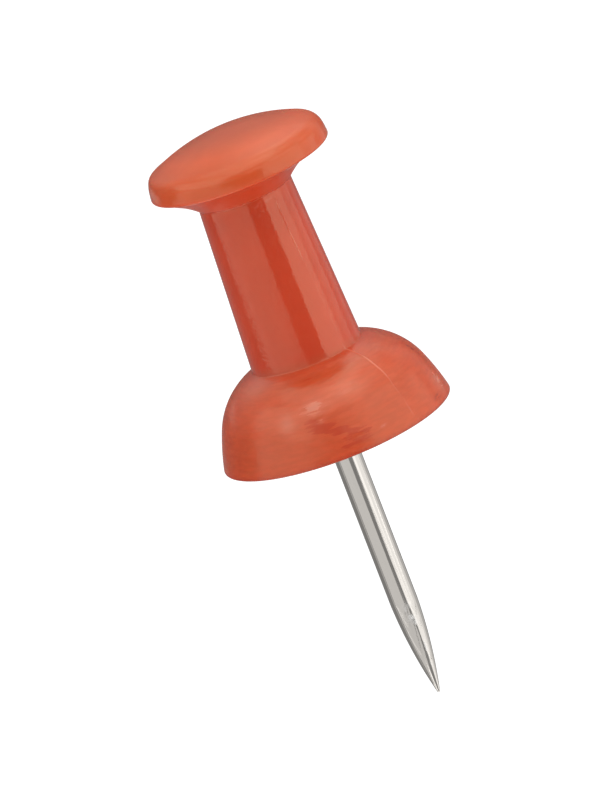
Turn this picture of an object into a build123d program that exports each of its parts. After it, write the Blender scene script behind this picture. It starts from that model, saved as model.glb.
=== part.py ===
from build123d import *
import os
from math import radians, tan

# Push pin: a moulded plastic head round the root of a pointed steel needle.
# Millimetres, +Z up. The origin is on the axis, in the plane where the flange seats on the board.
# Every outline is drawn as (distance from the axis, height) and turned about the axis.

# Head, overall
head_height = 12.7
flange_diameter = 9.32
disc_diameter = 7.26

# Finger disc, from the top down
dome_height = 0.84
rim_height = 0.81
rim_draft = 9.2
cove_height = 0.99
cove_hollow = 0.13
top_edge_round = 0.7
rim_edge_round = 0.12

# Waist, a straight taper between the disc and the flange
waist_top_diameter = 3.77
waist_bottom_diameter = 4.47
waist_fillet = 0.1

# Bell-shaped flange: a full shoulder that runs on into a steep skirt
bell_height = 3.3
shoulder_bulge = 0.316
skirt_height = 1.49
skirt_flare = 0.44
seat_edge_chamfer = 0.06

# Underside: a flat ring seats on the board, and a shallow dish leads to a flat round the needle
seat_ring_width = 0.9
dish_depth = 0.35
needle_land_width = 0.8

# Needle
needle_diameter = 1.1
needle_reach = 11.35
point_length = 3.95
point_bulge = 0.095
tip_round = 0.065

# Needle root inside the head: ring grooves that lock the moulding, and a chamfered end
groove_count = 4
groove_pitch = 1.75
groove_depth = 0.1
root_chamfer = 0.15


def turned(outline):
    """Solid of revolution about the axis from a closed outline."""
    return revolve(Plane.XZ * outline, Axis.Z)


def corner_at(outline, place):
    """The outline's corner at that place."""
    return outline.vertices().sort_by_distance(place)[0]


def make_needle():
    """Point, plain shank and grooved root, tip down."""
    needle_radius = needle_diameter / 2
    valley_radius = needle_radius - groove_depth
    end_radius = needle_radius - root_chamfer
    root_height = dish_depth + groove_count * groove_pitch
    end_height = root_height + root_chamfer
    tip = (0, -needle_reach)
    tip_side = (tip_round, tip_round - needle_reach)
    point_base = (needle_radius, point_length - needle_reach)

    blunt_tip = RadiusArc(tip, tip_side, -tip_round)
    flank = SagittaArc(tip_side, point_base, -point_bulge)
    shank = Line(point_base, (needle_radius, dish_depth))
    grooves = []
    for groove in range(groove_count):
        bottom = dish_depth + groove * groove_pitch
        valley = (valley_radius, bottom + groove_pitch / 2)
        grooves.append(Line((needle_radius, bottom), valley))
        grooves.append(Line(valley, (needle_radius, bottom + groove_pitch)))
    chamfered_end = Polyline((needle_radius, root_height), (end_radius, end_height), (0, end_height), tip)
    return turned(make_face([blunt_tip, flank, shank, *grooves, chamfered_end]))


def make_head(needle):
    """Finger disc, waist and flange in one moulding, with the socket that the needle's root leaves in it."""
    rim_top = (disc_diameter / 2 - rim_height * tan(radians(rim_draft)), head_height - dome_height)
    rim_foot = (disc_diameter / 2, rim_top[1] - rim_height)
    waist_top = (waist_top_diameter / 2, rim_foot[1] - cove_height)
    waist_foot = (waist_bottom_diameter / 2, bell_height)
    skirt_foot = (flange_diameter / 2, 0)
    skirt_top = (flange_diameter / 2 - skirt_flare, skirt_height)
    ring_inside = (flange_diameter / 2 - seat_ring_width, 0)
    land_edge = (needle_diameter / 2 + needle_land_width, dish_depth)

    dome = TangentArc((0, head_height), rim_top, tangent=(1, 0))
    rim = Line(rim_top, rim_foot)
    cove = SagittaArc(rim_foot, waist_top, -cove_hollow)
    waist = Line(waist_top, waist_foot)
    shoulder = SagittaArc(waist_foot, skirt_top, shoulder_bulge)
    skirt = TangentArc(skirt_top, skirt_foot, tangent=shoulder % 1)
    seat_ring = Line(skirt_foot, ring_inside)
    dish = TangentArc(land_edge, ring_inside, tangent=(1, 0))
    land_and_axis = Polyline(land_edge, (0, dish_depth), (0, head_height))

    outline = make_face([dome, rim, cove, waist, shoulder, skirt, seat_ring, dish, land_and_axis])
    outline = fillet(corner_at(outline, rim_top), top_edge_round)
    outline = fillet(corner_at(outline, rim_foot), rim_edge_round)
    outline = fillet(corner_at(outline, waist_foot), waist_fillet)
    outline = chamfer(corner_at(outline, skirt_foot), seat_edge_chamfer)
    return turned(outline) - needle


steel_needle = make_needle()
moulded_head = make_head(steel_needle)

os.makedirs("parts", exist_ok=True)
export_step(moulded_head, "parts/moulded_head.step")
export_step(steel_needle, "parts/steel_needle.step")
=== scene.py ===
"""Push pin: fine meshes, finishes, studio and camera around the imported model."""
from math import acos, atan2, cos, pi, radians, sin, tan

import bpy
import numpy as np
from mathutils import Matrix, Vector


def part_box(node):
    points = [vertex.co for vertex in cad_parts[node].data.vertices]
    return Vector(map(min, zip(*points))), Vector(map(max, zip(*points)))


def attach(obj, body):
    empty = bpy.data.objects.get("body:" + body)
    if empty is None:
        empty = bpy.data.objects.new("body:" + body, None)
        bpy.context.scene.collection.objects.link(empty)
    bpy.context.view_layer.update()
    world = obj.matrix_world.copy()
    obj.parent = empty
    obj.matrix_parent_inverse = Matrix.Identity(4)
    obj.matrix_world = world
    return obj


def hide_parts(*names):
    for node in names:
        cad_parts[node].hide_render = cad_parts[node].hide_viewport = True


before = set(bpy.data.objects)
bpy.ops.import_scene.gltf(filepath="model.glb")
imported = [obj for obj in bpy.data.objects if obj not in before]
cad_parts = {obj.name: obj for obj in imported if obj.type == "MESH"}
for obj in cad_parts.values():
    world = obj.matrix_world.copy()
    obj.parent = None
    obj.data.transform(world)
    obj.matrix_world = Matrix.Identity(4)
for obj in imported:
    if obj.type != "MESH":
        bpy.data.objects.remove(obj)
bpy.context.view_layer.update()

# Lengths are in metres. The pin's axis is Z, and the camera stands on the side of -Y.
MM = 0.001

# Sizes that come from the frame
_, HEAD_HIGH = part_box("moulded_head")
NEEDLE_LOW, NEEDLE_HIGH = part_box("steel_needle")
HEAD_HEIGHT = HEAD_HIGH.z
FLANGE_RADIUS = HEAD_HIGH.x
NEEDLE_RADIUS = NEEDLE_HIGH.x
TIP_HEIGHT = NEEDLE_LOW.z
ROOT_END = NEEDLE_HIGH.z

# Finger disc
DISC_RADIUS = 3.63 * MM
DOME_HEIGHT = 0.84 * MM
RIM_HEIGHT = 0.81 * MM
RIM_DRAFT = radians(9.2)
RIM_BULGE = 0.02 * MM
COVE_HEIGHT = 0.99 * MM
COVE_HOLLOW = 0.13 * MM
TOP_EDGE_ROUND = 0.85 * MM
RIM_EDGE_ROUND = 0.1 * MM
RIM_TOP = HEAD_HEIGHT - DOME_HEIGHT
RIM_FOOT = RIM_TOP - RIM_HEIGHT
COVE_FOOT = RIM_FOOT - COVE_HEIGHT

# Waist and bell flange. The flange's corner reaches past its size before it is rounded off.
WAIST_TOP_RADIUS = 1.885 * MM
WAIST_FOOT_RADIUS = 2.235 * MM
WAIST_FILLET = 0.07 * MM
BELL_HEIGHT = 3.3 * MM
SHOULDER_BULGE = 0.316 * MM
SKIRT_HEIGHT = 1.49 * MM
SKIRT_FLARE = 0.46 * MM
CORNER_REACH = 0.015 * MM
SEAT_EDGE_ROUND = 0.05 * MM
SEAT_RING_WIDTH = 0.9 * MM
DISH_DEPTH = 0.35 * MM
NEEDLE_LAND_WIDTH = 0.8 * MM

# Needle point and root, and how far the root's socket in the head reaches
POINT_LENGTH = 3.95 * MM
POINT_BULGE = 0.095 * MM
TIP_ROUND = 0.065 * MM
GROOVE_COUNT = 4
GROOVE_DEPTH = 0.1 * MM
ROOT_CHAMFER = 0.15 * MM
SOCKET_RADIUS = 1.01 * NEEDLE_RADIUS
SOCKET_TOP = ROOT_END + 0.1 * MM

# How the moulding came out: disc pushed aside, leaning, and drooping in front, its top edge fuller on the
# left, waist and flange a little off the axis. A band holds the heights between which a change sets in.
DISC_SHIFT = 0.135 * MM
DISC_LEAN = radians(0.9)
DOME_LEAN = radians(0.5)
DISC_DROOP = 0.075 * MM
DROOP_BEND = 1.0 * MM
EDGE_FULLNESS = 0.05 * MM
EDGE_WIDTH = 0.2 * MM
EDGE_SPREAD = (0.45, 1.0)
WAIST_SHIFT = -0.045 * MM
FLANGE_SHIFT = -0.012 * MM
WAIST_BAND = (BELL_HEIGHT - 0.2 * MM, BELL_HEIGHT + 0.2 * MM)
LEAN_BAND = (COVE_FOOT - 0.38 * MM, COVE_FOOT - 0.16 * MM)
DISC_BAND = (COVE_FOOT + 0.68 * MM, COVE_FOOT + 0.98 * MM)
DOME_BAND = (RIM_TOP - 0.5 * MM, RIM_TOP + 0.1 * MM)

# Parting line: a fine ridge down waist and flange that drifts a little, and its twin on the far side.
# It starts low, grows up the flange, is worn off on the lower waist and ends under the disc.
SEAM_AZIMUTH = radians(39.5)
SEAM_DRIFT = radians(-8)
SEAM_HEIGHT = 0.014 * MM
SEAM_HALF_WIDTH = 0.035 * MM
SEAM_WANDER = radians(0.3)
SEAM_WAVES = (0.21 * MM, 0.55 * MM)
SEAM_LOW_SHARE = 0.35
SEAM_WEAR = 0.92
SEAM_START_BAND = (0.25 * MM, 0.6 * MM)
SEAM_GROWTH_BAND = (1.5 * MM, 2.3 * MM)
SEAM_WORN_BAND = (3.2 * MM, 3.6 * MM)
SEAM_BACK_BAND = (6.6 * MM, 7.6 * MM)
SEAM_END_BAND = (9.4 * MM, 9.9 * MM)

# Marks on head and needle: azimuth in degrees, height, half width and half height in mm, and strength
# Scuffs roughen the plastic, and their paler colour is a painted highlight of glints
SCUFFS_AND_GLINTS = ((-9, 2.1, 0.48, 0.23, 1.0), (-7.5, 1.6, 0.22, 0.07, 0.8), (10, 2.25, 0.5, 0.12, 0.35),
          (22, 0.58, 0.12, 0.04, 0.6), (74, 0.75, 0.2, 0.3, 1.0), (150, 1.7, 0.5, 0.25, 1.0),
          (-140, 0.9, 0.5, 0.15, 1.0), (20, 9.86, 0.09, 0.05, 1.0), (27, 9.9, 0.14, 0.035, 0.7))
# Painted sheen: pale patches where the flange shows a soft highlight
PAINTED_SHEEN = ((-58, 3.1, 0.8, 0.3, 0.85), (-25, 1.85, 0.36, 0.38, 1.0), (15, 2.3, 1.2, 0.4, 0.4),
        (72, 0.75, 0.5, 0.4, 0.6), (120, 2.0, 0.9, 0.4, 0.6))
# Painted dark reflections: darker streaks where the flange mirrors the dark gap between the lamps
DARK_REFLECTION_STREAKS = ((-13, 1.75, 0.5, 0.2, 1.0), (-9, 1.4, 0.8, 0.2, 1.0), (0, 1.1, 0.8, 0.2, 1.0),
              (9, 0.8, 0.7, 0.2, 1.0), (12.5, 0.5, 0.6, 0.2, 1.0), (0, 0.4, 0.5, 0.2, 1.0),
              (3, 3.0, 1.2, 0.1, 0.6), (160, 1.1, 0.8, 0.2, 1.0))
GRIME = ((84, 2.8, 0.12, 0.2, 1.0), (79, 2.1, 0.12, 0.35, 1.0), (62, 0.35, 0.3, 0.1, 1.0),
         (27, 0.62, 0.25, 0.03, 0.6), (-160, 2.6, 0.3, 0.2, 1.0))
# Grinding nicks are chipped and rougher, and their near-white colour is a painted glint
GRINDING_NICKS = ((4, -7.75, 0.14, 0.35, 1.0), (10, -8.15, 0.09, 0.25, 1.0), (22, -9.6, 0.06, 0.5, 1.0))

# Painted shade: a darker line along the edge the pin stands on
FOOT_SHADE = 0.1 * MM

# Mesh fineness, the gap under which two points are one, and the sagitta under which an arc is a line
ROW_STEP = 0.085 * MM
CORNER_ROWS = 11
HEAD_COLUMNS = 288
SEAM_COLUMNS = 10
SEAM_COLUMN_STEP = radians(0.16)
NEEDLE_COLUMNS = 120
NEEDLE_STEP = 0.05 * MM
SHANK_STEP = 2 * NEEDLE_STEP
TIP_STEP = TIP_ROUND / 6
JOIN_GAP = 0.005 * MM
STRAIGHT = 1e-6 * MM

# Camera: the pin's axis leans in the picture, so the camera rolls
CAMERA_ELEVATION = radians(13.2)
CAMERA_DISTANCE = 242.0 * MM
CAMERA_ROLL = radians(21.15)
CAMERA_LENS = 283.9
CAMERA_SENSOR = 36.0
CAMERA_REACH = (0.01, 20)
CAMERA_PIVOT = Vector((0, 0, 6.137)) * MM
CAMERA_AIM = Vector((-0.956, 0, 1.644)) * MM

# Room: dark at the horizon, and bright from the ceiling's height on, a share of the way up
ROOM_DARK = 0.16
ROOM_BRIGHT = 0.68
CEILING_HEIGHT = 0.85

# Floor, with a pool of white behind the pin that fills the picture
FLOOR_DROP = 0.3
FLOOR_RADIUS = 2.5
FLOOR_SIDES = 96
FLOOR_TONE = 0.45
POOL_CENTRE = 1.39
POOL_WIDTH = 0.13
POOL_LENGTH = 0.60
POOL_EDGE = 1.15
POOL_LIFT = 0.9

# Upright light banks left and right of the camera, tier by tier from the bottom: the tier's top, then the
# azimuths of the left bank's two ends in degrees and its radiance, then the same of the right bank.
# The dark between left and right is where the photographer stood.
BANK_DISTANCE = 0.17
BANK_BOTTOM = -0.15
BANK_MIDDLE = -0.03
BANK_RIM = -0.004
BANK_HIGH = 0.05
BANK_TOP = 0.11
TIERS = ((-0.112, (-80, 22), 0.44, (44, 84), 0.88),
         (-0.085, (-81, 14), 0.43, (35, 84), 0.9),
         (-0.075, (-82, 6), 0.43, (30, 84), 0.9),
         (-0.0575, (-82, -3), 0.47, (22.5, 84), 0.85),
         (-0.054, (-82, -3), 0.47, (27.5, 84), 0.85),
         (BANK_MIDDLE, (-82, -3), 0.47, (33, 84), 0.85),
         (BANK_RIM, (-102, -6), 0.9, (34, 84), 1.65),
         (0.001, (-94, -2), 0.7, (-2, 84), 1.3),
         (0.02, (-94, -18), 0.75, (22, 84), 1.4),
         (0.057, (-93, -30), 0.8, (25, 84), 1.25),
         (0.08, (-90, -14), 0.6, (20, 84), 1.0),
         (BANK_TOP, (-90, -24), 0.6, (5, 84), 1.1))

# Banks further round: azimuths of the two ends in degrees, bottom, top and radiance
SIDE_BANKS = (("left_side_low", (-98, -86), BANK_BOTTOM, BANK_MIDDLE, 0.22),
              ("right_front_low", (29, 52), -0.068, BANK_MIDDLE, 0.26),
              ("right_side_low", (84, 106), BANK_BOTTOM, BANK_MIDDLE, 0.62),
              ("right_back_low", (106, 142), BANK_BOTTOM, BANK_MIDDLE, 0.3),
              ("right_side", (84, 112), BANK_MIDDLE, BANK_RIM, 0.95),
              ("right_side_rim", (84, 112), BANK_RIM, BANK_HIGH, 0.95),
              ("right_side_high", (84, 112), BANK_HIGH, BANK_TOP, 0.4),
              ("right_back", (112, 142), BANK_MIDDLE, BANK_TOP, 0.32))

# Tilted lights above and below: azimuth and elevation in degrees, distance, width, height and radiance
TILTED_LIGHTS = (("high_left", -64, 42, 0.2, 0.24, 0.1, 0.85),
                 ("high_front", 16, 58, 0.2, 0.19, 0.12, 0.85),
                 ("high_right", 70, 42, 0.2, 0.22, 0.1, 0.45),
                 ("top", 0, 89, 0.2, 0.2, 0.14, 0.75),
                 ("top_right", 95, 65, 0.2, 0.2, 0.12, 0.36),
                 ("right_high_back", 148, 51, 0.2, 0.09, 0.125, 0.42),
                 ("left_back", -137, 16.4, 0.0313, 0.014, 0.0038, 0.28),
                 ("high_back", 145, 63, 0.2, 0.16, 0.08, 0.35),
                 ("below_left", -52, -60, 0.125, 0.13, 0.08, 0.8),
                 ("below_right", 82, -60, 0.125, 0.08, 0.08, 0.9),
                 ("below", -90, -68, 0.14, 0.14, 0.14, 0.93))

# Colours and roughness of the plastic from part to part, and the colours of its marks
FLANGE_COLOUR = (0.57, 0.075, 0.024)
# Painted shade: the shoulder is darker where it meets the waist
SHOULDER_SHADED_COLOUR = (0.53, 0.075, 0.025)
WAIST_COLOUR = (0.59, 0.056, 0.0195)
# Painted light: the cove under the disc is lighter, as if lit from below
COVE_LIT_COLOUR = (0.67, 0.066, 0.0205)
# Painted light: the thin rim is the lightest part, as if light came through it
RIM_LIT_COLOUR = (0.63, 0.092, 0.026)
# Painted shade: the top edge's rounding is darker, against the highlight it catches
ARRIS_SHADED_COLOUR = (0.59, 0.089, 0.026)
DOME_COLOUR = (0.505, 0.077, 0.025)
# Painted highlight along the parting line's ridge
SEAM_HIGHLIGHT_COLOUR = (0.72, 0.2, 0.12)
# Colour of painted highlights: glints and sheen
PAINTED_HIGHLIGHT_COLOUR = (0.8, 0.36, 0.27)
# Colour of the painted dark reflections
DARK_REFLECTION_COLOUR = (0.5, 0.045, 0.015)
# Colour of grime, and of the painted shade along the foot
GRIME_AND_SHADE_COLOUR = (0.3, 0.035, 0.02)
WAIST_ROUGHNESS = 0.09
COVE_ROUGHNESS = 0.34
DISC_ROUGHNESS = 0.14
DOME_ROUGHNESS = 0.27

# Noises of the plastic: cells per metre along each axis, and detail
STREAK_NOISE = ((900, 900, 8000), 5)
SWELL_NOISE = ((700, 700, 2600), 2)
BLOTCH_NOISE = ((1900, 1900, 6500), 4)
STROKE_NOISE = ((1000, 1000, 6500), 4)
PATCH_NOISE = ((700, 700, 700), 3)
WAVE_NOISE = ((2500, 2500, 2500), 5)
RIPPLE_NOISE = ((6000, 6000, 8000), 1)

# What the noises do: the range that counts, and the range it is mapped to
STROKE_RANGE = (0.83, 0.93, 0, 0.85)
WEAR_RANGE = (0.36, 0.6, 0.2, 0.8)
DIRT_RANGE = (0.4, 0.6, 0, 1)
SEAM_RANGE = (0.38, 0.62, 0.1, 0.7)
STREAK_TONE = (0.3, 0.7, -0.018, 0.018)
BLOTCH_TONE = (0.35, 0.65, -0.04, 0.04)
PATCH_TONE = (0.3, 0.7, 0.97, 1.03)
STREAK_DULLNESS = (0.35, 0.65, 0.12, 0.16)

# How much of each mark shows, how deep the relief is, and the heights where the finish changes
STROKE_SHARE = 0.46
SHEEN_SHARE = 0.2
GLINT_SHARE = 0.46
FOOT_SHARE = 0.8
WEAR_DULLNESS = 0.12
WAVE_DEPTH = 8.0e-3 * MM
RIPPLE_DEPTH = 4.5e-3 * MM
SWELL_DEPTH = 25.0e-3 * MM
STREAK_DEPTH = 1.0e-3 * MM
DISC_RIPPLE_SHARE = 0.4
BELL_BAND = (BELL_HEIGHT - 0.2 * MM, BELL_HEIGHT + 0.4 * MM)
COVE_BAND = (COVE_FOOT - 0.1 * MM, COVE_FOOT + 0.1 * MM)

# Steel: two tones of drawn wire, and the nicks on its point, which are rougher and painted near white as
# glints
STEEL_DARK = (0.70, 0.665, 0.62)
STEEL_LIGHT = (0.74, 0.705, 0.66)
NICK_GLINT_COLOUR = (0.95, 0.93, 0.9)
NICK_DULLNESS = 0.35
WIRE_NOISE = ((9000, 9000, 250), 3)
CHIP_NOISE = ((7000, 7000, 4500), 3)
NICK_RANGE = (0.42, 0.62, 0, 1)
WIRE_ROUGHNESS = (0.3, 0.7, 0.05, 0.09)
WIRE_DEPTH = 0.6e-3 * MM
CHIP_DEPTH = 2.0e-3 * MM
POINT_BAND = (TIP_HEIGHT + POINT_LENGTH, TIP_HEIGHT + POINT_LENGTH - 0.6 * MM)


def unit(vector):
    return vector / np.linalg.norm(vector)


def along(points):
    """Distance of each point from the start of a polyline."""
    return np.r_[0, np.cumsum(np.linalg.norm(np.diff(points, axis=0), axis=1))]


def stretch_of(points, start, end):
    """The part of a polyline between two distances along it."""
    travelled = along(points)
    inside = points[(travelled > start) & (travelled < end)]
    ends = [[np.interp(distance, travelled, points[:, k]) for k in (0, 1)] for distance in (start, end)]
    return np.vstack([ends[0], inside, ends[1]])


def arc(start, end, sagitta=0.0, step=ROW_STEP):
    """Points of the arc whose middle stands sagitta to the left of the line from start to end."""
    start, end = np.array(start), np.array(end)
    length = np.linalg.norm(end - start)
    count = max(3, round(length / step) + 1)
    share = np.linspace(0, 1, count)[:, None]
    if abs(sagitta) < STRAIGHT:
        return start + share * (end - start)
    forward = (end - start) / length
    left = np.array([-forward[1], forward[0]])
    half_turn = 2 * atan2(2 * sagitta, length)
    radius = length / 2 / sin(half_turn)
    centre = (start + end) / 2 - left * radius * cos(half_turn)
    turn = (2 * share - 1) * half_turn
    return centre + radius * (left * np.cos(turn) + forward * np.sin(turn))


def tangent_arc(start, end, leaving, step=ROW_STEP):
    """Points of the arc from start to end that leaves start in the direction given."""
    chord = unit(np.array(end) - np.array(start))
    heading = unit(np.array(leaving))
    turn = atan2(heading[0] * chord[1] - heading[1] * chord[0], heading @ chord)
    length = np.linalg.norm(np.array(end) - np.array(start))
    return arc(start, end, -length / 2 * tan(turn / 2), step)


def round_corner(before, after, radius):
    """Two stretches with the corner between them rounded off, joined to one."""
    turn = acos(np.clip(unit(before[-1] - before[-2]) @ unit(after[1] - after[0]), -1, 1))
    cut = radius * tan(turn / 2)
    before = stretch_of(before, 0, along(before)[-1] - cut)
    after = stretch_of(after, cut, along(after)[-1])
    leaving, arriving = unit(before[-1] - before[-2]), unit(after[1] - after[0])
    turn = acos(np.clip(leaving @ arriving, -1, 1))
    reach = np.linalg.norm(after[0] - before[-1]) / 2 / sin(turn / 2) * 4 / 3 * tan(turn / 4)
    share = np.linspace(0, 1, CORNER_ROWS)[1:-1, None]
    corners = before[-1], before[-1] + leaving * reach, after[0] - arriving * reach, after[0]
    weights = (1 - share) ** 3, 3 * share * (1 - share) ** 2, 3 * share ** 2 * (1 - share), share ** 3
    bend = sum(weight * corner for weight, corner in zip(weights, corners))
    return np.vstack([before, bend, after])


def joined(*stretches):
    """Stretches end to end, without the doubled points."""
    points = np.vstack(stretches)
    return points[np.r_[True, np.linalg.norm(np.diff(points, axis=0), axis=1) > JOIN_GAP]]


def root_outline():
    """The needle's grooved root, from the shank up to the end on the axis."""
    pitch = (ROOT_END - ROOT_CHAMFER - DISH_DEPTH) / GROOVE_COUNT
    points = [(NEEDLE_RADIUS, DISH_DEPTH)]
    for groove in range(GROOVE_COUNT):
        bottom = DISH_DEPTH + groove * pitch
        points.append((NEEDLE_RADIUS - GROOVE_DEPTH, bottom + pitch / 2))
        points.append((NEEDLE_RADIUS, bottom + pitch))
    points.append((NEEDLE_RADIUS - ROOT_CHAMFER, ROOT_END))
    points.append((0, ROOT_END))
    return np.array(points)


def head_outline():
    """The head as (distance from the axis, height), from the top of the dome round to the socket's end."""
    corner_radius = FLANGE_RADIUS + CORNER_REACH
    rim_top = (DISC_RADIUS - RIM_HEIGHT * tan(RIM_DRAFT), RIM_TOP)
    rim_foot = (DISC_RADIUS, RIM_FOOT)
    waist_top = (WAIST_TOP_RADIUS, COVE_FOOT)
    waist_foot = (WAIST_FOOT_RADIUS, BELL_HEIGHT)
    skirt_top = (corner_radius - SKIRT_FLARE, SKIRT_HEIGHT)
    skirt_foot = (corner_radius, 0.0)
    ring_inside = (corner_radius - SEAT_RING_WIDTH, 0.0)
    land_edge = (NEEDLE_RADIUS + NEEDLE_LAND_WIDTH, DISH_DEPTH)

    dome = tangent_arc((0, HEAD_HEIGHT), rim_top, (1, 0))
    rim = arc(rim_top, rim_foot, RIM_BULGE)
    cove = arc(rim_foot, waist_top, -COVE_HOLLOW)
    waist = arc(waist_top, waist_foot)
    shoulder = arc(waist_foot, skirt_top, SHOULDER_BULGE)
    skirt = tangent_arc(skirt_top, skirt_foot, shoulder[-1] - shoulder[-2])
    ring = arc(skirt_foot, ring_inside)
    dish = tangent_arc(land_edge, ring_inside, (1, 0))[::-1]
    land = arc(land_edge, (NEEDLE_RADIUS, DISH_DEPTH))

    disc = round_corner(round_corner(dome, rim, TOP_EDGE_ROUND), cove, RIM_EDGE_ROUND)
    bell = round_corner(joined(shoulder, skirt), ring, SEAT_EDGE_ROUND)
    spool = round_corner(round_corner(disc, waist, WAIST_FILLET), bell, WAIST_FILLET)
    return joined(spool, dish, land, root_outline())


def needle_outline():
    """The needle's outline from its tip to the end of its root."""
    tip_side = (TIP_ROUND, TIP_HEIGHT + TIP_ROUND)
    point_base = (NEEDLE_RADIUS, TIP_HEIGHT + POINT_LENGTH)
    blunt_tip = arc((0, TIP_HEIGHT), tip_side, -TIP_ROUND * (1 - cos(pi / 4)), TIP_STEP)
    flank = arc(tip_side, point_base, -POINT_BULGE, NEEDLE_STEP)
    shank = arc(point_base, (NEEDLE_RADIUS, DISH_DEPTH), 0, SHANK_STEP)
    return joined(blunt_tip, flank, shank, root_outline())


def smooth_step(value, low, high):
    """0 below low, 1 above high, and smooth between."""
    share = np.clip((value - low) / (high - low), 0, 1)
    return share * share * (3 - 2 * share)


def column_angles(count, seams):
    """Angles round the axis, closer together beside each seam."""
    fine = np.arange(-SEAM_COLUMNS, SEAM_COLUMNS + 1) * SEAM_COLUMN_STEP
    reach = fine[-1] + pi / count
    angles = np.arange(count) * 2 * pi / count
    for seam in seams:
        apart = (angles - seam + pi) % (2 * pi) - pi
        angles = np.r_[angles[abs(apart) > reach], (seam + fine) % (2 * pi)]
    return np.sort(angles)


def lathe(name, outline, angles, shape):
    """Closed mesh turned about the axis, on which both ends of the outline lie. Shape moves and marks it."""
    inner = outline[1:-1]
    rows, columns = len(inner), len(angles)
    grid, ends, marks = shape(inner, outline[[0, -1]], angles)
    first = np.arange(rows)[:, None] * columns + np.arange(columns)
    after = np.roll(first, -1, axis=1)
    quads = np.stack([first[:-1], after[:-1], after[1:], first[1:]], axis=2).reshape(-1, 4)
    start, end = rows * columns, rows * columns + 1
    caps = [(start, b, a) for a, b in zip(first[0], after[0])]
    caps += [(end, a, b) for a, b in zip(first[-1], after[-1])]
    if outline[0, 1] > outline[len(outline) // 2, 1]:
        quads = quads[:, ::-1]
        caps = [cap[::-1] for cap in caps]
    mesh = bpy.data.meshes.new(name)
    mesh.from_pydata(np.vstack([grid.reshape(-1, 3), ends]).tolist(), [], quads.tolist() + caps)
    mesh.polygons.foreach_set("use_smooth", [True] * len(mesh.polygons))
    marks["meridian"] = np.repeat(along(outline)[1:-1, None], columns, 1)
    for label, values in marks.items():
        layer = mesh.attributes.new(label, "FLOAT", "POINT")
        layer.data.foreach_set("value", np.r_[values.ravel(), values[0, 0], values[-1, 0]].astype(np.float32))
    mesh.update()
    piece = bpy.data.objects.new(name, mesh)
    bpy.context.scene.collection.objects.link(piece)
    return piece


def turned(inner, turn):
    """Points of the outline turned by the angles of each row."""
    radius, height = inner[:, :1], inner[:, 1:]
    return np.stack([radius * np.cos(turn), radius * np.sin(turn), height + 0 * turn], axis=2)


def axis_points(ends):
    """The outline's two ends as points on the axis."""
    return np.array([[[0, 0, height] for height in ends[:, 1]]])


def spots(places, inner, turn):
    """Soft spots on a turned surface, each given by azimuth, height, half width, half height and strength."""
    total = np.zeros(turn.shape)
    for azimuth, height, half_width, half_height, strength in places:
        apart = (turn + pi / 2 - radians(azimuth) + pi) % (2 * pi) - pi
        aside = apart * inner[:, :1] / (half_width * MM)
        above = (inner[:, 1:] - height * MM) / (half_height * MM)
        total += strength * np.exp(-aside ** 2 - above ** 2)
    return np.clip(total, 0, 1)


def seam_angles():
    """Where the mould's halves met: one parting line in front, the other opposite."""
    front = SEAM_AZIMUTH - pi / 2
    return front % (2 * pi), (front + pi) % (2 * pi)


def seam_ridge(inner, angles):
    """Height of the parting line's ridge, as a share of its full height."""
    height = inner[:, 1:]
    grown = SEAM_LOW_SHARE + (1 - SEAM_LOW_SHARE) * smooth_step(height, *SEAM_GROWTH_BAND)
    start = smooth_step(height, *SEAM_START_BAND) * grown
    end = 1 - smooth_step(height, *SEAM_END_BAND)
    worn_off = smooth_step(height, *SEAM_WORN_BAND) * (1 - smooth_step(height, *SEAM_BACK_BAND))
    wander = SEAM_WANDER * np.sin(height / SEAM_WAVES[0]) * np.cos(height / SEAM_WAVES[1])
    ridge = np.zeros((len(inner), len(angles)))
    for seam in seam_angles():
        apart = (angles - seam - wander + pi) % (2 * pi) - pi
        ridge += np.exp(-(apart * inner[:, :1] / SEAM_HALF_WIDTH) ** 2)
    return ridge * start * end * (1 - SEAM_WEAR * worn_off)


def full_edge(inner, turn):
    """How far the disc's top edge stands out: most on the left, not at all on the right."""
    travelled = along(inner)
    disc = inner[:, 1] > RIM_FOOT
    edge = np.interp(-RIM_TOP, -inner[disc, 1], travelled[disc])
    across = np.exp(-((travelled - edge) / EDGE_WIDTH) ** 2)
    return EDGE_FULLNESS * across[:, None] * smooth_step(-np.cos(turn), *EDGE_SPREAD)


def settle(points):
    """Points of the head moved by the moulding's shifts and the disc's lean and droop."""
    x, y, height = points[:, :, 0], points[:, :, 1], points[:, :, 2]
    leaning = smooth_step(height, *LEAN_BAND)
    on_disc = smooth_step(height, *DISC_BAND)
    on_dome = smooth_step(height, *DOME_BAND)
    on_waist = smooth_step(height, *WAIST_BAND)
    in_socket = (np.hypot(x, y) < SOCKET_RADIUS) & (height < SOCKET_TOP)
    shift = FLANGE_SHIFT + (WAIST_SHIFT - FLANGE_SHIFT) * on_waist + (DISC_SHIFT - WAIST_SHIFT) * on_disc
    towards_front = (np.hypot(y, DROOP_BEND) - y) / (2 * DISC_RADIUS)
    moved = points.copy()
    moved[:, :, 0] += np.where(in_socket, 0, shift)
    moved[:, :, 2] += x * (tan(DISC_LEAN) * leaning + tan(DOME_LEAN) * on_dome)
    moved[:, :, 2] -= DISC_DROOP * leaning * towards_front
    return moved


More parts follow.
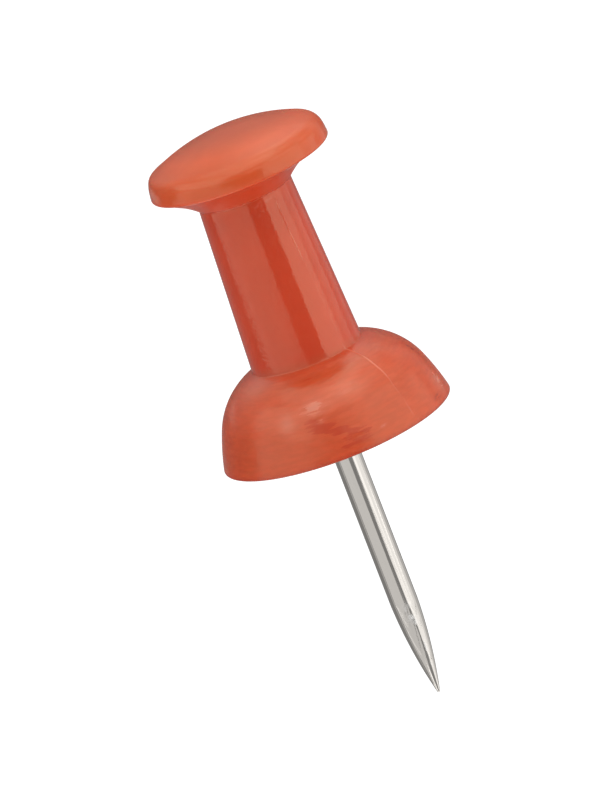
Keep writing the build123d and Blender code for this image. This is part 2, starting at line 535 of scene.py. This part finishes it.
def shape_head(inner, ends, angles):
    """The parting line's ridge, the disc's fuller edge, how the moulding settled, and its marks."""
    turn = angles + SEAM_DRIFT * smooth_step(inner[:, 1:], BELL_HEIGHT, COVE_FOOT)
    seat = np.argmin(np.where(inner[:, 0] < FLANGE_RADIUS / 2, np.inf, abs(inner[:, 1])))
    outside = np.arange(len(inner))[:, None] < seat
    ridge = outside * seam_ridge(inner, angles)
    slope = np.gradient(inner, axis=0)
    slope /= np.linalg.norm(slope, axis=1)[:, None]
    outward = turned(np.stack([-slope[:, 1], slope[:, 0]], axis=1), turn)
    lift = SEAM_HEIGHT * ridge + full_edge(inner, turn)
    marks = {"seam": ridge}
    # Masks of scuffs with painted glints, of painted sheen, of painted dark reflections, and of grime
    for label, places in (("scuff_glint", SCUFFS_AND_GLINTS), ("sheen_mark", PAINTED_SHEEN), ("dark_streak", DARK_REFLECTION_STREAKS), ("grime", GRIME)):
        marks[label] = outside * spots(places, inner, turn)
    # Painted shade along the edge the pin stands on
    marks["foot"] = outside * np.exp(-(inner[:, 1:] / FOOT_SHADE) ** 2) + 0 * turn
    grid = settle(turned(inner, turn) + outward * lift[:, :, None])
    return grid, settle(axis_points(ends))[0], marks


def shape_needle(inner, ends, angles):
    """The plain turned needle, with the nicks that grinding left on its point."""
    turn = np.repeat(angles[None], len(inner), 0)
    return turned(inner, turn), axis_points(ends)[0], {"nick": spots(GRINDING_NICKS, inner, turn)}


def new_material(name):
    """Material with an empty tree but for its Principled shader."""
    material = bpy.data.materials.new(name)
    material.use_nodes = True
    return material, material.node_tree, material.node_tree.nodes["Principled BSDF"]


def add_node(tree, kind, **settings):
    """New node with some of its settings changed."""
    node = tree.nodes.new(kind)
    for name, value in settings.items():
        setattr(node, name, value)
    return node


def plug(tree, socket, value):
    """Links a socket to another's output, or sets its number."""
    if isinstance(value, bpy.types.NodeSocket):
        tree.links.new(value, socket)
    else:
        socket.default_value = value


def mark(tree, name):
    """One of the marks that the mesh carries."""
    return add_node(tree, "ShaderNodeAttribute", attribute_name=name).outputs["Fac"]


def place(tree):
    """The object's own coordinates: all three, then each."""
    whole = tree.nodes.new("ShaderNodeTexCoord").outputs["Object"]
    split = tree.nodes.new("ShaderNodeSeparateXYZ")
    plug(tree, split.inputs["Vector"], whole)
    return whole, split.outputs["X"], split.outputs["Y"], split.outputs["Z"]


def noise(tree, where, scale, detail):
    """Noise at a place, with a scale for each axis in cells per metre."""
    stretch = tree.nodes.new("ShaderNodeMapping")
    texture = tree.nodes.new("ShaderNodeTexNoise")
    plug(tree, stretch.inputs["Vector"], where)
    plug(tree, stretch.inputs["Scale"], scale)
    plug(tree, texture.inputs["Vector"], stretch.outputs["Vector"])
    plug(tree, texture.inputs["Scale"], 1.0)
    plug(tree, texture.inputs["Detail"], detail)
    return texture.outputs["Fac"]


def round_place(tree):
    """Coordinates for streaks that run round the axis: across it, and along the outline."""
    _, x, y, _ = place(tree)
    joint = tree.nodes.new("ShaderNodeCombineXYZ")
    plug(tree, joint.inputs["X"], x)
    plug(tree, joint.inputs["Y"], y)
    plug(tree, joint.inputs["Z"], mark(tree, "meridian"))
    return joint.outputs["Vector"]


def sums(tree, operation, first, second):
    """Two values put together by a Math node."""
    node = add_node(tree, "ShaderNodeMath", operation=operation)
    plug(tree, node.inputs[0], first)
    plug(tree, node.inputs[1], second)
    return node.outputs["Value"]


def remap(tree, value, low, high, to_low, to_high):
    """Value mapped smoothly from one range to another."""
    node = add_node(tree, "ShaderNodeMapRange", interpolation_type="SMOOTHSTEP")
    for name, number in (("From Min", low), ("From Max", high), ("To Min", to_low), ("To Max", to_high)):
        node.inputs[name].default_value = number
    plug(tree, node.inputs["Value"], value)
    return node.outputs["Result"]


def mixed_colour(tree, factor, first, second):
    """Two colours mixed by a factor. Each is a socket or three numbers."""
    node = add_node(tree, "ShaderNodeMix", data_type="RGBA")
    for socket, colour in ((node.inputs["A"], first), (node.inputs["B"], second)):
        plug(tree, socket, (*colour, 1) if isinstance(colour, tuple) else colour)
    plug(tree, node.inputs["Factor"], factor)
    return node.outputs["Result"]


def bump(tree, height, distance, strength=1.0, under=None):
    """Normal of a relief, laid over another one if there is one under it."""
    node = tree.nodes.new("ShaderNodeBump")
    plug(tree, node.inputs["Height"], height)
    plug(tree, node.inputs["Distance"], distance)
    plug(tree, node.inputs["Strength"], strength)
    if under is not None:
        plug(tree, node.inputs["Normal"], under)
    return node.outputs["Normal"]


def by_height(tree, height, stops):
    """Colour that changes with height on the head, from stop to stop."""
    ramp = tree.nodes.new("ShaderNodeValToRGB")
    while len(ramp.color_ramp.elements) < len(stops):
        ramp.color_ramp.elements.new(1.0)
    for element, (stop, colour) in zip(ramp.color_ramp.elements, stops):
        element.position = stop / HEAD_HEIGHT
        element.color = (*colour, 1)
    plug(tree, ramp.inputs["Fac"], sums(tree, "DIVIDE", height, HEAD_HEIGHT))
    return ramp.outputs["Color"]


def strokes(tree, grain, where):
    """Crisp strokes in the grain of the surface, where a mark lies."""
    likely = sums(tree, "ADD", grain, sums(tree, "MULTIPLY", where, STROKE_SHARE))
    return remap(tree, likely, *STROKE_RANGE)


def plastic_colour(tree, height):
    """Redder where the plastic is thick, with painted light and shade: a lit rim and a lit cove under the
    disc, and a shaded shoulder and top edge.
    """
    stops = ((BELL_HEIGHT - 0.8 * MM, FLANGE_COLOUR), (BELL_HEIGHT - 0.3 * MM, SHOULDER_SHADED_COLOUR),
             (BELL_HEIGHT + 0.4 * MM, WAIST_COLOUR), (COVE_FOOT - 0.6 * MM, WAIST_COLOUR),
             (COVE_FOOT + 0.1 * MM, COVE_LIT_COLOUR), (RIM_FOOT - 0.15 * MM, COVE_LIT_COLOUR),
             (RIM_FOOT + 0.05 * MM, RIM_LIT_COLOUR), (RIM_TOP - 0.35 * MM, RIM_LIT_COLOUR),
             (RIM_TOP, ARRIS_SHADED_COLOUR), (RIM_TOP + 0.12 * MM, ARRIS_SHADED_COLOUR),
             (RIM_TOP + 0.35 * MM, RIM_LIT_COLOUR), (RIM_TOP + 0.7 * MM, DOME_COLOUR))
    return by_height(tree, height, stops)


def plastic_roughness(tree, height):
    """Polished waist, a dull cove under the disc, a satin rim and a duller dome."""
    stops = ((COVE_FOOT - 0.06 * MM, WAIST_ROUGHNESS), (COVE_FOOT + 0.05 * MM, COVE_ROUGHNESS),
             (RIM_FOOT - 0.05 * MM, COVE_ROUGHNESS), (RIM_FOOT + 0.05 * MM, DISC_ROUGHNESS),
             (RIM_TOP - 0.5 * MM, DISC_ROUGHNESS), (RIM_TOP + 0.3 * MM, DOME_ROUGHNESS))
    return by_height(tree, height, [(stop, (roughness,) * 3) for stop, roughness in stops])


def mottled_colour(tree, height, on_bell, streak, blotch, patchy):
    """The plastic's colour with faint patches all over, and streaks and blotches on the bell."""
    grain = sums(tree, "ADD", remap(tree, streak, *STREAK_TONE), remap(tree, blotch, *BLOTCH_TONE))
    mottled = sums(tree, "MULTIPLY", on_bell, grain)
    tone = tree.nodes.new("ShaderNodeHueSaturation")
    plug(tree, tone.inputs["Color"], plastic_colour(tree, height))
    plug(tree, tone.inputs["Value"], sums(tree, "ADD", mottled, remap(tree, patchy, *PATCH_TONE)))
    return tone.outputs["Color"]


def wear_and_glint_places(tree, blotch, stroke):
    """Where the plastic is scuffed: blotches with crisp strokes in them, which make it rougher and are
    painted paler as glints.
    """
    blotchy = sums(tree, "MULTIPLY", mark(tree, "scuff_glint"), remap(tree, blotch, *WEAR_RANGE))
    return sums(tree, "MAXIMUM", blotchy, strokes(tree, stroke, mark(tree, "scuff_glint")))


def marked_colour(tree, colour, wear_and_glint, blotch, stroke, patchy):
    """A colour with painted dark reflections, the seam's painted highlight, painted sheen and glints, painted
    shade along the foot, and grime laid over it.
    """
    # Painted dark reflection streaks
    reflected_dark = strokes(tree, sums(tree, "SUBTRACT", 1, stroke), mark(tree, "dark_streak"))
    # Painted highlight along the parting line
    seam = sums(tree, "MULTIPLY", mark(tree, "seam"), remap(tree, patchy, *SEAM_RANGE))
    # Painted sheen
    sheen = sums(tree, "MULTIPLY", mark(tree, "sheen_mark"), SHEEN_SHARE)
    # Painted glints where the plastic is scuffed
    glinting = sums(tree, "MULTIPLY", wear_and_glint, GLINT_SHARE)
    # Painted shade along the foot
    shaded = sums(tree, "MULTIPLY", mark(tree, "foot"), FOOT_SHARE)
    dirty = sums(tree, "MULTIPLY", mark(tree, "grime"), remap(tree, blotch, *DIRT_RANGE))
    for share, layer in ((reflected_dark, DARK_REFLECTION_COLOUR), (seam, SEAM_HIGHLIGHT_COLOUR), (sheen, PAINTED_HIGHLIGHT_COLOUR),
                         (glinting, PAINTED_HIGHLIGHT_COLOUR), (shaded, GRIME_AND_SHADE_COLOUR), (dirty, GRIME_AND_SHADE_COLOUR)):
        colour = mixed_colour(tree, share, colour, layer)
    return colour


def plastic_relief(tree, where, drawn, height, on_bell, streak):
    """Faint waves all over, ripples on waist and disc, and swells and streaks on the bell."""
    off_bell = remap(tree, height, *BELL_BAND, 0, 1)
    rippled = sums(tree, "MULTIPLY", off_bell, remap(tree, height, *COVE_BAND, 1, DISC_RIPPLE_SHARE))
    waves = bump(tree, noise(tree, where, *WAVE_NOISE), WAVE_DEPTH)
    ripples = bump(tree, noise(tree, where, *RIPPLE_NOISE), RIPPLE_DEPTH, rippled, waves)
    swells = bump(tree, noise(tree, drawn, *SWELL_NOISE), SWELL_DEPTH, on_bell, ripples)
    return bump(tree, streak, STREAK_DEPTH, on_bell, swells)


def head_plastic():
    """Orange-red moulding: polished and redder on the thick waist, duller and streaked on disc and flange."""
    material, tree, shader = new_material("head_plastic")
    shader.inputs["IOR"].default_value = 1.58
    shader.inputs["Specular Tint"].default_value = (1, 0.95, 0.68, 1)
    shader.inputs["Subsurface Weight"].default_value = 0.5
    shader.inputs["Subsurface Radius"].default_value = (1, 0.3, 0.15)
    shader.inputs["Subsurface Scale"].default_value = 0.6 * MM

    where, _, _, height = place(tree)
    drawn = round_place(tree)
    on_bell = remap(tree, height, *BELL_BAND, 1, 0)
    streak = noise(tree, drawn, *STREAK_NOISE)
    blotch = noise(tree, drawn, *BLOTCH_NOISE)
    stroke = noise(tree, drawn, *STROKE_NOISE)
    patchy = noise(tree, where, *PATCH_NOISE)
    wear_and_glint = wear_and_glint_places(tree, blotch, stroke)

    colour = mottled_colour(tree, height, on_bell, streak, blotch, patchy)
    colour = marked_colour(tree, colour, wear_and_glint, blotch, stroke, patchy)
    plug(tree, shader.inputs["Base Color"], colour)
    dulled = sums(tree, "MULTIPLY", on_bell, remap(tree, streak, *STREAK_DULLNESS))
    rough = sums(tree, "ADD", plastic_roughness(tree, height), dulled)
    rough = sums(tree, "ADD", rough, sums(tree, "MULTIPLY", wear_and_glint, WEAR_DULLNESS))
    plug(tree, shader.inputs["Roughness"], rough)
    plug(tree, shader.inputs["Normal"], plastic_relief(tree, where, drawn, height, on_bell, streak))
    return material


def needle_steel():
    """Bright drawn steel with fine streaks along its length, nicked where the point was ground, with painted
    glints in the nicks.
    """
    material, tree, shader = new_material("needle_steel")
    shader.inputs["Metallic"].default_value = 1.0
    where, _, _, height = place(tree)
    streak = noise(tree, where, *WIRE_NOISE)
    chips = noise(tree, where, *CHIP_NOISE)
    nicked = sums(tree, "MULTIPLY", mark(tree, "nick"), remap(tree, chips, *NICK_RANGE))
    steel = mixed_colour(tree, streak, STEEL_DARK, STEEL_LIGHT)
    # Painted glints in the nicks
    plug(tree, shader.inputs["Base Color"], mixed_colour(tree, nicked, steel, NICK_GLINT_COLOUR))
    rough = remap(tree, streak, *WIRE_ROUGHNESS)
    rough = sums(tree, "ADD", rough, sums(tree, "MULTIPLY", nicked, NICK_DULLNESS))
    plug(tree, shader.inputs["Roughness"], rough)
    on_point = remap(tree, height, *POINT_BAND, 0, 1)
    drawn = bump(tree, streak, WIRE_DEPTH)
    plug(tree, shader.inputs["Normal"], bump(tree, chips, CHIP_DEPTH, on_point, drawn))
    return material


def make_head():
    """Finger disc, waist and flange: one moulding."""
    angles = column_angles(HEAD_COLUMNS, seam_angles())
    piece = lathe("head_moulding", head_outline(), angles, shape_head)
    piece.data.materials.append(head_plastic())
    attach(piece, "root")
    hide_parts("moulded_head")


def make_needle():
    """Needle with its point and the grooved root inside the head."""
    angles = column_angles(NEEDLE_COLUMNS, [])
    piece = lathe("needle_wire", needle_outline(), angles, shape_needle)
    piece.data.materials.append(needle_steel())
    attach(piece, "root")
    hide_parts("steel_needle")


def direction(azimuth, elevation):
    """Unit vector from the pin. Azimuth 0 is towards the camera, and grows to the camera's right."""
    around, up = radians(azimuth), radians(elevation)
    return Vector((sin(around) * cos(up), -cos(around) * cos(up), sin(up)))


def panel_light(name, location, outward, width, height, radiance):
    """Soft rectangular light with its back to the direction given, unseen by the camera."""
    data = bpy.data.lights.new(name, "AREA")
    data.shape = "RECTANGLE"
    data.size, data.size_y = width, height
    data.energy = radiance * pi * width * height
    lamp = bpy.data.objects.new(name, data)
    lamp.location = location
    lamp.rotation_euler = outward.to_track_quat("Z", "Y").to_euler()
    lamp.visible_camera = False
    bpy.context.scene.collection.objects.link(lamp)


def bank(name, ends, bottom, top, radiance):
    """Upright panel light that fills the azimuths between two ends and faces the pin's axis."""
    middle = direction(sum(ends) / 2, 0)
    location = middle * BANK_DISTANCE + Vector((0, 0, (bottom + top) / 2))
    width = 2 * BANK_DISTANCE * tan(radians(ends[1] - ends[0]) / 2)
    panel_light(name, location, middle, width, top - bottom, radiance)


def tilted_light(name, azimuth, elevation, distance, width, height, radiance):
    """Panel light above or below, tilted to face the pin."""
    outward = direction(azimuth, elevation)
    panel_light(name, outward * distance, outward, width, height, radiance)


def make_lights():
    """The tiers of banks from the bottom up, the banks further round, and the tilted lights."""
    bottom = BANK_BOTTOM
    for number, (top, left_ends, left_radiance, right_ends, right_radiance) in enumerate(TIERS):
        bank(f"left_{number}", left_ends, bottom, top, left_radiance)
        bank(f"right_{number}", right_ends, bottom, top, right_radiance)
        bottom = top
    for side_bank in SIDE_BANKS:
        bank(*side_bank)
    for light in TILTED_LIGHTS:
        tilted_light(*light)


def floor_material():
    """Pale paper, lifted to white in a soft pool behind the pin."""
    material, tree, shader = new_material("floor_paper")
    shader.inputs["Base Color"].default_value = (FLOOR_TONE, FLOOR_TONE, FLOOR_TONE, 1)
    shader.inputs["Roughness"].default_value = 0.9
    shader.inputs["Specular IOR Level"].default_value = 0.1
    ellipse = tree.nodes.new("ShaderNodeMapping")
    plug(tree, ellipse.inputs["Vector"], place(tree)[0])
    plug(tree, ellipse.inputs["Location"], (0, -POOL_CENTRE / POOL_LENGTH, 0))
    plug(tree, ellipse.inputs["Scale"], (1 / POOL_WIDTH, 1 / POOL_LENGTH, 0))
    away = add_node(tree, "ShaderNodeVectorMath", operation="LENGTH")
    plug(tree, away.inputs[0], ellipse.outputs["Vector"])
    pool = remap(tree, away.outputs["Value"], 1.0, POOL_EDGE, POOL_LIFT, 0.0)
    rays = tree.nodes.new("ShaderNodeLightPath")
    seen = sums(tree, "MAXIMUM", rays.outputs["Is Camera Ray"], rays.outputs["Is Glossy Ray"])
    seen = sums(tree, "MAXIMUM", seen, rays.outputs["Is Transmission Ray"])
    shader.inputs["Emission Color"].default_value = (1, 1, 1, 1)
    plug(tree, shader.inputs["Emission Strength"], sums(tree, "MULTIPLY", pool, seen))
    return material


def make_floor():
    """Round floor below the pin's tip."""
    angles = np.arange(FLOOR_SIDES) * 2 * pi / FLOOR_SIDES
    points = [(FLOOR_RADIUS * cos(a), FLOOR_RADIUS * sin(a), TIP_HEIGHT - FLOOR_DROP) for a in angles]
    mesh = bpy.data.meshes.new("studio_floor")
    mesh.from_pydata(points, [], [range(len(points))])
    floor = bpy.data.objects.new("studio_floor", mesh)
    bpy.context.scene.collection.objects.link(floor)
    mesh.materials.append(floor_material())


def make_world():
    """Dim room with a brighter ceiling."""
    world = bpy.data.worlds.new("studio_room")
    world.use_nodes = True
    tree = world.node_tree
    split = tree.nodes.new("ShaderNodeSeparateXYZ")
    plug(tree, split.inputs["Vector"], tree.nodes.new("ShaderNodeTexCoord").outputs["Generated"])
    room = remap(tree, split.outputs["Z"], 0.0, CEILING_HEIGHT, ROOM_DARK, ROOM_BRIGHT)
    plug(tree, tree.nodes["Background"].inputs["Color"], room)
    bpy.context.scene.world = world


def make_camera():
    """Camera at the photographer's place, rolled as the photograph is."""
    data = bpy.data.cameras.new("camera")
    data.lens = CAMERA_LENS
    data.sensor_width = CAMERA_SENSOR
    data.clip_start, data.clip_end = CAMERA_REACH
    camera = bpy.data.objects.new("camera", data)
    back = Vector((0, -cos(CAMERA_ELEVATION), sin(CAMERA_ELEVATION)))
    location = CAMERA_PIVOT + back * CAMERA_DISTANCE
    forward = (CAMERA_AIM - location).normalized()
    upright = Vector((0, sin(CAMERA_ELEVATION), cos(CAMERA_ELEVATION)))
    rolled = Vector((1, 0, 0)) * sin(CAMERA_ROLL) + upright * cos(CAMERA_ROLL)
    right = forward.cross(rolled).normalized()
    up = right.cross(forward)
    turn = Matrix((right, up, -forward)).transposed()
    camera.matrix_world = Matrix.Translation(location) @ turn.to_4x4()
    bpy.context.scene.collection.objects.link(camera)
    bpy.context.scene.camera = camera


make_head()
make_needle()
make_floor()
make_world()
make_lights()
make_camera()
bpy.context.scene.view_settings.view_transform = "Standard"
